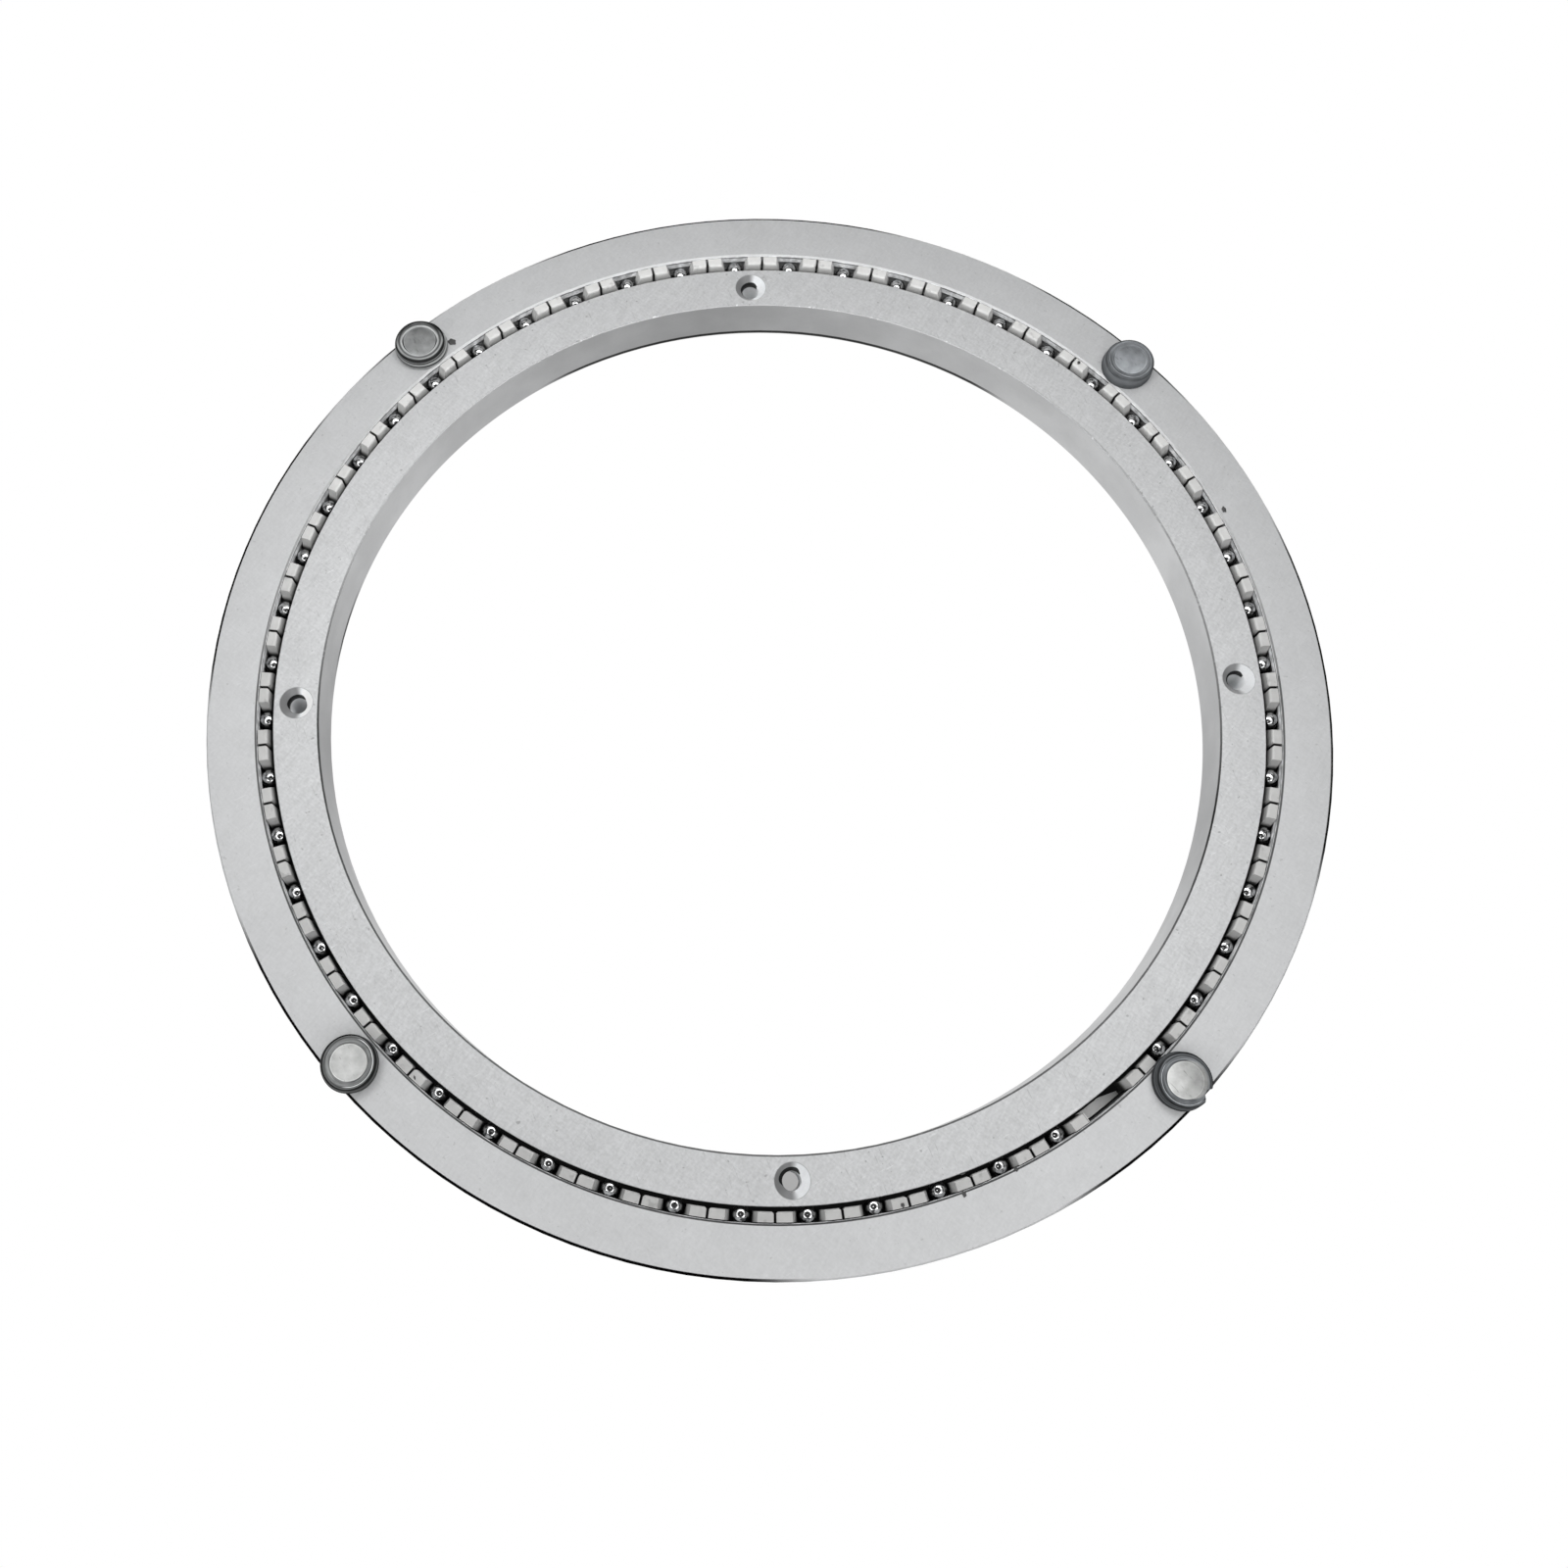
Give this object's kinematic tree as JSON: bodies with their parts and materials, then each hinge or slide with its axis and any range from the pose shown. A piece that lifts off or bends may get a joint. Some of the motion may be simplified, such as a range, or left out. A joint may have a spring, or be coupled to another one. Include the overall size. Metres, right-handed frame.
{
  "type": "lazy susan bearing",
  "caption": "Flat aluminium turntable bearing: two rings that turn on caged steel balls, with countersunk screw holes in the inner ring and clear rubber feet on the outer one.",
  "frame": {"origin": "centre of the inner ring's board-side face, the lowest face of the part", "axes": "+Z along the turning axis, away from the board and towards the rubber feet; +X and +Y each through a screw hole, with +Y away from the viewer of the picture"},
  "size_m": [0.3, 0.3, 0.0192],
  "materials": {
    "rings": "satin",
    "cage": "satin",
    "feet": "clear",
    "balls": "polished"
  },
  "bodies": {
    "base": {"outer_ring": "rings", "foot_1": "feet", "foot_2": "feet", "foot_3": "feet", "foot_4": "feet"},
    "turntable": {"inner_ring": "rings"},
    "ball_train": {"ball_cage": "cage", "ball_01": "balls", "ball_02": "balls", "ball_03": "balls", "ball_04": "balls", "ball_05": "balls", "ball_06": "balls", "ball_07": "balls", "ball_08": "balls", "ball_09": "balls", "ball_10": "balls", "ball_11": "balls", "ball_12": "balls", "ball_13": "balls", "ball_14": "balls", "ball_15": "balls", "ball_16": "balls", "ball_17": "balls", "ball_18": "balls", "ball_19": "balls", "ball_20": "balls", "ball_21": "balls", "ball_22": "balls", "ball_23": "balls", "ball_24": "balls", "ball_25": "balls", "ball_26": "balls", "ball_27": "balls", "ball_28": "balls", "ball_29": "balls", "ball_30": "balls", "ball_31": "balls", "ball_32": "balls", "ball_33": "balls", "ball_34": "balls", "ball_35": "balls", "ball_36": "balls", "ball_37": "balls", "ball_38": "balls", "ball_39": "balls", "ball_40": "balls", "ball_41": "balls", "ball_42": "balls", "ball_43": "balls", "ball_44": "balls", "ball_45": "balls", "ball_46": "balls", "ball_47": "balls", "ball_48": "balls", "ball_49": "balls", "ball_50": "balls", "ball_51": "balls"}
  },
  "joints": [
    {"name": "turn", "type": "hinge", "parent": "base", "child": "turntable", "pos_m": [0, 0, 0.01075], "axis": [0, 0, 1], "continuous": true},
    {"name": "train_turn", "type": "hinge", "parent": "base", "child": "ball_train", "pos_m": [0, 0, 0.01075], "axis": [0, 0, 1], "continuous": true}
  ],
  "couplings": [
    {"joint": "train_turn", "follows": "turn", "ratio": 0.4912}
  ]
}
